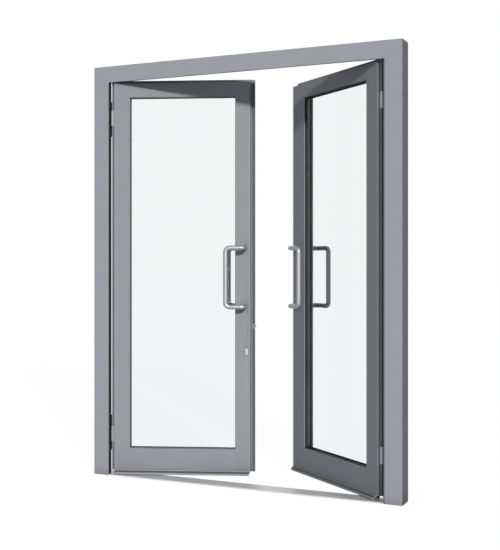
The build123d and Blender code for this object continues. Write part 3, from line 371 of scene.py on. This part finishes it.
def screws_for(node, axis, rides):
    """Stands a detailed screw in the place of each plain one of a node."""
    same_level = 0.00001
    body = bmesh.new()
    for corners in solids_of(nodes[node]):
        levels = [corner.dot(axis) for corner in corners]
        top = max(levels)
        head = [corner for corner, level in zip(corners, levels) if top - level < same_level]
        middle = sum(head, Vector()) / len(head)
        seat = max(level for level in levels if top - level > same_level)
        radius = max((corner - middle).length for corner in head)
        screw(body, middle, axis, radius, top - seat, seat - min(levels))
    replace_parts(finish_piece(body, node + "_turned", plain_steel, rides), node)


along = {}
inward = {}
pivot = {}
for joint in frame["joints"]:
    if joint["name"].endswith("_leaf_swing"):
        side = joint["name"].split("_")[0]
        hand = 1.0 if side == "left" else -1.0
        turn = math.radians(-joint["range_deg"][0])
        along[side] = Vector((hand * math.cos(turn), math.sin(turn), 0.0))
        inward[side] = Vector((-hand * math.sin(turn), math.cos(turn), 0.0))
        pivot[side] = Vector(joint["pos_m"])
screws_for("frame_hinge_screws", Vector((0.0, 1.0, 0.0)), "frame")
for side in ("left", "right"):
    screws_for(f"{side}_hinge_screws", inward[side], f"{side}_leaf")

# Leaves: stiles and rails of drawn tube with a coating like the frame's, a shade darker.
# Beads of the same colour clip in on the inside and hold the glass, and moulded plastic caps
# close the stiles' ends. The left leaf carries more painted shade in its corners than the right.
leaf_grey = {"low": (0.256, 0.269, 0.279), "high": (0.283, 0.296, 0.305)}
# dark: how deep the painted shade in each leaf's corners goes.
for side, dark in (("left", 0.6), ("right", 0.9)):
    leaf_paint = powder_coat(f"{side}_leaf_paint", **leaf_grey, dark=dark, dull=0.83)
    for bar in ("hinge_stile", "meeting_stile", "top_rail", "bottom_rail", "glazing_beads"):
        wear(nodes[f"{side}_{bar}"], leaf_paint)
        ease_edges(nodes[f"{side}_{bar}"], width=0.0006)
plastic, shade = blank("grey_plastic")
speck = grain(shade, scale=700.0)
close(shade, {
    "Base Color": tint(shade, speck, low=(0.11, 0.11, 0.12), high=(0.15, 0.15, 0.16)),
    "Roughness": 0.5 + 0.15 * speck,
    "Normal": relief(shade, speck, depth=0.00005),
})
for side in ("left", "right"):
    wear(nodes[f"{side}_stile_caps"], plastic)

# Drip bars: a bent strip along the foot of each leaf, in the leaf's colour.
# Its sloping top is painted darker than the nose, as painted shade under the leaf's face.
drip_paint, shade = blank("drip_paint")
facing = shade.node("ShaderNodeNewGeometry", None, None, "Normal")
upward = shade.node("ShaderNodeSeparateXYZ", None, {"Vector": facing}, "Z")
cloud = grain(shade, scale=60.0, detail=3.0)
speck = grain(shade, scale=1400.0, detail=1.0)
# The upward-facing top is painted dark: painted shade.
slope = shade.math("MAXIMUM", 2.0 * upward, 0.0)
top_shade = shade.math("MINIMUM", slope, 0.9 + 0.1 * cloud)
close(shade, {
    "Base Color": tint(shade, top_shade, low=(0.265, 0.276, 0.287), high=(0.092, 0.094, 0.098)),
    "Roughness": 0.45 + 0.1 * speck,
    "Specular IOR Level": 0.02,
    "Normal": relief(shade, speck, depth=0.00004),
})
for side in ("left", "right"):
    wear(nodes[f"{side}_drip_bar"], drip_paint)

# Glass: sealed units of two clear float panes on a metal spacer, set between the rubbers.
# Clear glass has a faint green cast, and each pane takes away a little of the light.
glass, shade = blank("clear_glass")
haze = grain(shade, scale=3.0)
close(shade, {
    "Base Color": tint(shade, haze, low=(0.935, 0.953, 0.951), high=(0.94, 0.957, 0.955)),
    "Roughness": 0.0,
    "IOR": 1.08,
    "Transmission Weight": 1.0,
})
spacer, shade = blank("spacer_metal")
lines = grain(shade, scale=300.0)
close(shade, {
    "Base Color": tint(shade, lines, low=(0.11, 0.115, 0.115), high=(0.15, 0.155, 0.155)),
    "Metallic": 0.8,
    "Roughness": 0.4 + 0.15 * lines,
    "Normal": relief(shade, lines, depth=0.00003),
})
for side in ("left", "right"):
    wear(nodes[f"{side}_glass_panes"], glass)
    wear(nodes[f"{side}_glass_spacer"], spacer)

# Brush seals: a dense black pile in a folded holder, fixed along the underside of each leaf.
# The hairs are drawn plastic, cut to one length, and they reach down to the threshold.
pile, shade = blank("brush_pile")
hair = grain(shade, scale=900.0, stretch=(1.0, 1.0, 0.08))
close(shade, {
    "Base Color": tint(shade, hair, low=(0.012, 0.012, 0.012), high=(0.05, 0.05, 0.05)),
    "Roughness": 0.7 + 0.2 * hair,
    "Normal": relief(shade, hair, depth=0.0006),
})


def leaf_spans(side, node):
    """How far a node reaches along, through and up its leaf, from the hinge axis."""
    places = [corner.co - pivot[side] for corner in nodes[node].data.vertices]
    found = []
    for axis in (along[side], inward[side], Vector((0.0, 0.0, 1.0))):
        reach = [place.dot(axis) for place in places]
        found.append((min(reach), max(reach)))
    return found


def leaf_spot(side, u, v, z):
    """The point at those distances along, through and up a leaf from its hinge axis."""
    return pivot[side] + u * along[side] + v * inward[side] + Vector((0.0, 0.0, z))


def bristle(body, side, root, tip, thick):
    """Adds one tapering three-sided hair from its root to its tip."""
    around = [(1.0, 0.0), (-0.5, 0.87), (-0.5, -0.87)]
    taper = 0.4
    ends = []
    for (u, v, z), reach in ((root, thick), (tip, taper * thick)):
        ends.append([body.verts.new(leaf_spot(side, u + reach * a, v + reach * b, z)) for a, b in around])
    low, high = ends
    for step in range(3):
        body.faces.new((low[step], low[step - 1], high[step - 1], high[step]))
    body.faces.new(high)


def brush(side):
    """A folded holder with rows of hairs that reach down to the threshold."""
    node = f"{side}_bottom_brush"
    (u0, u1), (v0, v1), (z0, z1) = leaf_spans(side, node)
    chance = random.Random(7)
    body = bmesh.new()
    holder_lip = 0.001
    holder_wall = 0.0015
    holder_roof = z1 - 0.002
    holder_foot = z1 - 0.3 * (z1 - z0)
    section = [(v0, z1), (v0, holder_foot), (v0 + holder_lip, holder_foot), (v0 + holder_wall, holder_roof),
               (v1 - holder_wall, holder_roof), (v1 - holder_lip, holder_foot), (v1, holder_foot), (v1, z1)]
    ends = [[body.verts.new(leaf_spot(side, u, v, z)) for v, z in section] for u in (u0, u1)]
    for step in range(len(section)):
        body.faces.new((ends[0][step], ends[0][step - 1], ends[1][step - 1], ends[1][step]))
    for end in ends:
        body.faces.new(end)
    rows = 4
    row_margin = 0.8
    pitch = 0.0022
    lean = 0.0006
    thick = 0.0007
    for row in range(rows):
        v = v0 + (row + row_margin) * (v1 - v0) / (rows - 1 + 2 * row_margin)
        for step in range(1, int((u1 - u0) / pitch)):
            u = u0 + step * pitch
            tip_u = u + chance.uniform(-lean, lean)
            tip_v = v + chance.uniform(-lean, lean)
            tip_z = z0 + chance.uniform(0.0, lean)
            bristle(body, side, (u, v, holder_roof), (tip_u, tip_v, tip_z), thick)
    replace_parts(finish_piece(body, node + "_hair", pile, f"{side}_leaf"), node)


for side in ("left", "right"):
    brush(side)

# Handles: bent stainless bars, ground to a satin finish with fine lines round the bar.
# Those on the inside are the same steel, painted darker as painted shade, the right one most.
# Steel studs through the stiles hold each pair together.


def ground_steel(name, low, high):
    """Satin steel with fine grinding lines round the bar."""
    made, shade = blank(name)
    lines = grain(shade, scale=900.0, detail=3.0, stretch=(0.15, 0.15, 1.0))
    close(shade, {
        "Base Color": tint(shade, grain(shade, scale=25.0, detail=3.0), low, high),
        "Metallic": 1.0,
        "Roughness": 0.44 + 0.12 * lines,
        "Normal": relief(shade, lines, depth=0.00002),
    })
    return made


bright_steel = ground_steel("bright_handle_steel", low=(0.33, 0.335, 0.34), high=(0.39, 0.395, 0.4))
for side in ("left", "right"):
    wear(nodes[f"{side}_outer_handle"], bright_steel)
    wear(nodes[f"{side}_handle_studs"], plain_steel)
# The inner handles' darker steel is painted shade; they are the same steel as the outer ones.
left_inner_steel = ground_steel("left_inner_steel", low=(0.28, 0.29, 0.29), high=(0.33, 0.34, 0.34))
wear(nodes["left_inner_handle"], left_inner_steel)
right_inner_steel = ground_steel("right_inner_steel", low=(0.17, 0.18, 0.18), high=(0.21, 0.22, 0.22))
wear(nodes["right_inner_handle"], right_inner_steel)

# Lock: a steel case inside the left meeting stile, with a faceplate, a deadbolt and a nylon roller.
# A nickel-plated cylinder goes through the stile, and the key turns its brass plug.
# Screws hold the faceplate, and the strike plate on the right leaf.
nickel, shade = blank("nickel")
lines = grain(shade, scale=1200.0, stretch=(1.0, 1.0, 0.1))
close(shade, {
    "Base Color": tint(shade, grain(shade, scale=80.0), low=(0.6, 0.6, 0.595), high=(0.67, 0.67, 0.665)),
    "Metallic": 0.3,
    "Roughness": 0.34 + 0.1 * lines,
    "Normal": relief(shade, lines, depth=0.00002),
})
wear(nodes["lock_cylinder"], nickel)
brass, shade = blank("plug_brass")
lines = grain(shade, scale=1500.0)
close(shade, {
    "Base Color": tint(shade, lines, low=(0.5, 0.49, 0.45), high=(0.62, 0.61, 0.57)),
    "Metallic": 1.0,
    "Roughness": 0.28 + 0.1 * lines,
    "Normal": relief(shade, lines, depth=0.00002),
})
wear(nodes["cylinder_plug"], brass)
nylon, shade = blank("roller_nylon")
speck = grain(shade, scale=500.0)
close(shade, {
    "Base Color": tint(shade, speck, low=(0.26, 0.265, 0.275), high=(0.31, 0.315, 0.325)),
    "Roughness": 0.45 + 0.1 * speck,
    "Normal": relief(shade, speck, depth=0.00003),
})
wear(nodes["roller_latch"], nylon)
for name in ("lock_case", "lock_faceplate", "deadbolt", "strike_plate"):
    wear(nodes[name], plain_steel)
plate_screw = {"radius": 0.0042, "height": 0.0006, "length": 0.012}
screw_inset = 0.012
screw_proud = 0.0002
for side, node in (("left", "lock_faceplate"), ("right", "strike_plate")):
    (u0, u1), (v0, v1), (z0, z1) = leaf_spans(side, node)
    body = bmesh.new()
    for z in (z0 + screw_inset, z1 - screw_inset):
        top = leaf_spot(side, u1 + screw_proud, (v0 + v1) / 2, z)
        screw(body, top, along[side], **plate_screw)
    finish_piece(body, node + "_screws", plain_steel, f"{side}_leaf")

# Flush bolts: turned steel rods in the right leaf's meeting stile, each with a thumb piece to push.
# They shoot into steel keeps that are let into the head and the threshold.
for name in ("top_flush_bolt", "bottom_flush_bolt", "bolt_keeps"):
    wear(nodes[name], plain_steel)

# Camera: it stands level, out in front of the door and to its right, just over a metre up.
# Its view is slid down a little to hold the door's foot, so that the uprights stay upright.
camera_data = bpy.data.cameras.new("camera")
camera_data.lens = 63.3
camera_data.sensor_width = 36.0
camera_data.shift_y = -0.0245
camera = bpy.data.objects.new("camera", camera_data)
bpy.context.scene.collection.objects.link(camera)
camera.location = (2.0024, -4.3952, 1.124)
camera.rotation_euler = (math.radians(90), 0.0, math.radians(24))
bpy.context.scene.camera = camera

# Floor: a pale matt sheet that runs out past the view and keeps a faint shadow.
# It shows white to the eye, to metal and to glass.


def shown_white(shade):
    """1 to the eye, to metal and to glass, which see a white background, and 0 to other light."""
    seen = shade.node("ShaderNodeLightPath", None, None, "Is Camera Ray")
    through = shade.node("ShaderNodeLightPath", None, None, "Is Transmission Ray")
    glossy = shade.node("ShaderNodeLightPath", None, None, "Is Glossy Ray")
    return shade.math("MAXIMUM", seen, shade.math("MAXIMUM", through, glossy))


floor_reach = 60.0
floor_white_share = 0.9
floor_mesh = bpy.data.meshes.new("floor")
corners = [(-floor_reach, -floor_reach, 0), (floor_reach, -floor_reach, 0),
           (floor_reach, floor_reach, 0), (-floor_reach, floor_reach, 0)]
floor_mesh.from_pydata(corners, [], [(0, 1, 2, 3)])
floor = bpy.data.objects.new("floor", floor_mesh)
bpy.context.scene.collection.objects.link(floor)
floor_sheet, shade = blank("floor_sheet")
matt = shade.node("ShaderNodeBsdfDiffuse", None, {"Color": (0.55, 0.55, 0.55, 1.0)})
white = shade.node("ShaderNodeEmission", None, {"Color": (1.0, 1.0, 1.0, 1.0), "Strength": 1.07})
white_share = floor_white_share * shown_white(shade)
mixed = shade.node("ShaderNodeMixShader", None, {0: white_share, 1: matt, 2: white})
shade.node("ShaderNodeOutputMaterial", None, {"Surface": mixed})
wear(floor, floor_sheet)

# Sun: one soft lamp, low in the front right, that gives the door its shadows.
# It is turned by two angles, one from straight in front and one from the floor.
sun_data = bpy.data.lights.new("sun", "SUN")
sun_data.energy = 2.95
sun_data.angle = math.radians(4.5)
sun = bpy.data.objects.new("sun", sun_data)
bpy.context.scene.collection.objects.link(sun)
sun_turn = math.radians(41.0)
sun_height = math.radians(21.0)
toward = Vector((math.sin(sun_turn) * math.cos(sun_height), -math.cos(sun_turn) * math.cos(sun_height),
                 math.sin(sun_height)))
sun.rotation_euler = toward.to_track_quat("Z", "Y").to_euler()

# Flags: a card that keeps the sun off the frame's right side, and a strip of net that dims it
# in the slit beside the right leaf. They stand on the floor, and only their shadows show.
net, shade = blank("flag_net")
thread_share = 0.6
holes = shade.node("ShaderNodeBsdfTransparent")
threads = shade.node("ShaderNodeBsdfDiffuse", None, {"Color": (0.05, 0.05, 0.05, 1.0)})
woven = shade.node("ShaderNodeMixShader", None, {0: thread_share, 1: holes, 2: threads})
shade.node("ShaderNodeOutputMaterial", None, {"Surface": woven})


def flag(name, foot, top, cloth):
    """Stands a card on a line of two points on the floor."""
    (x0, y0), (x1, y1) = foot
    mesh = bpy.data.meshes.new(name)
    mesh.from_pydata([(x0, y0, 0.0), (x1, y1, 0.0), (x1, y1, top), (x0, y0, top)], [], [(0, 1, 2, 3)])
    card = bpy.data.objects.new(name, mesh)
    bpy.context.scene.collection.objects.link(card)
    for ray in ("camera", "diffuse", "glossy", "transmission"):
        setattr(card, "visible_" + ray, False)
    wear(card, cloth)


low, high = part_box("right_jamb")
card_gap = 0.04
card_tail = 0.15
card_x = high.x + card_gap
card_top = high.z + 2.0 * card_gap
card_foot = [(card_x, low.y - card_gap / math.tan(sun_turn)), (card_x, high.y + card_tail)]
flag("side_flag", card_foot, card_top, plastic)
slit_left = 0.7065
slit_right = 0.728
slit_y = -0.0235
net_gap = 0.06
net_y = low.y - net_gap
slide = (slit_y - net_y) * math.tan(sun_turn)
net_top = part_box("head")[0].z + net_gap * math.tan(sun_height) / math.cos(sun_turn)
flag("slit_net", [(slit_left + slide, net_y), (slit_right + slide, net_y)], net_top, net)

# Sky: an even light from all round, with a little blue in it, that fills the shadows.
# It shows plain white to the eye, to metal and to glass.
world = bpy.data.worlds.new("sky")
bpy.context.scene.world = world
world.use_nodes = True
world.node_tree.nodes.clear()
shade = Shade(world.node_tree)
shown = shown_white(shade)
sky_level = 0.36
sky = shade.node("ShaderNodeBackground", None, {
    "Color": tint(shade, shown, low=(0.96, 0.985, 1.13), high=(1.0, 1.0, 1.0)),
    "Strength": sky_level + (1.0 - sky_level) * shown,
})
shade.node("ShaderNodeOutputWorld", None, {"Surface": sky})
bpy.context.scene.view_settings.view_transform = "Standard"
